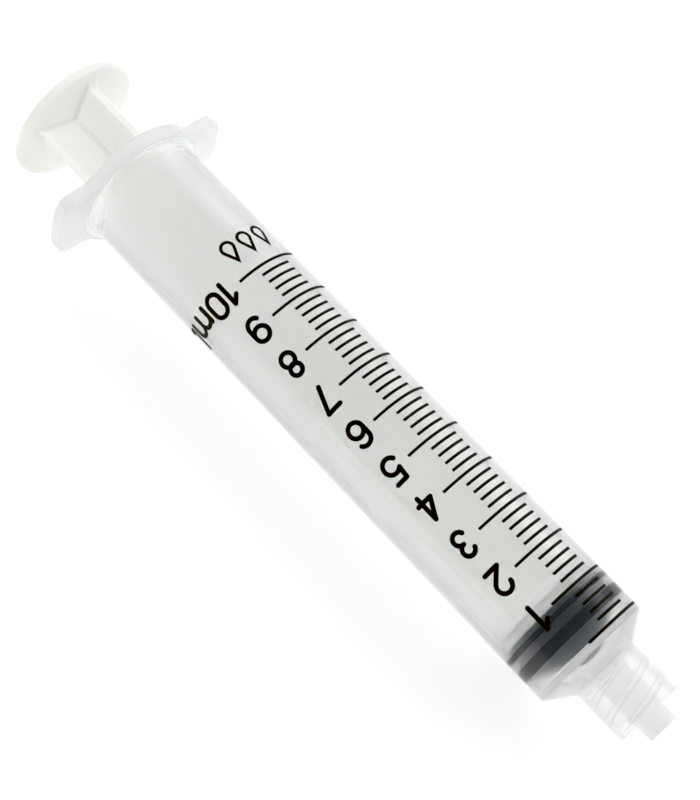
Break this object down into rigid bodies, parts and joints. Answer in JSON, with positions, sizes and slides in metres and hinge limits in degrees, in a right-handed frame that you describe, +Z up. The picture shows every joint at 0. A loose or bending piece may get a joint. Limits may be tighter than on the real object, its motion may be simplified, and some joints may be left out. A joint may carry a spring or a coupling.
{
  "type": "syringe",
  "caption": "Disposable 10 mL syringe: milky barrel with finger flange, printed scale and lock-collar tip, sliding ribbed plunger rod and black rubber stopper.",
  "frame": {"origin": "on the table under the middle of the syringe, which lies on its finger flange and thumb rest; the syringe's axis is 9.4 mm above it", "axes": "+X along the syringe's axis, towards the tip; +Y along the finger flange's wings; +Z up, through the printed scale's side of the barrel"},
  "size_m": [0.1092, 0.027, 0.0188],
  "materials": {
    "barrel_plastic": "clear, slightly milky polypropylene, smooth and glossy",
    "rod_plastic": "milky natural polypropylene, satin",
    "stopper_rubber": "black moulded rubber, lightly oiled",
    "scale_ink": "printed black ink, satin"
  },
  "bodies": {
    "barrel": {"barrel": "barrel_plastic", "printed_major_graduations": "scale_ink", "printed_minor_graduations": "scale_ink", "printed_numerals": "scale_ink", "printed_unit": "scale_ink", "printed_mark": "scale_ink"},
    "stopper": {"stopper": "stopper_rubber"},
    "plunger_rod": {"plunger_rod": "rod_plastic"}
  },
  "joints": [
    {"name": "plunger_slide", "type": "slide", "parent": "barrel", "child": "stopper", "axis": [-1, 0, 0], "range_m": [-0.0016, 0.0735]},
    {"name": "rod_spin", "type": "hinge", "parent": "stopper", "child": "plunger_rod", "pos_m": [0.0388, 0, 0.0094], "axis": [1, 0, 0], "continuous": true}
  ]
}
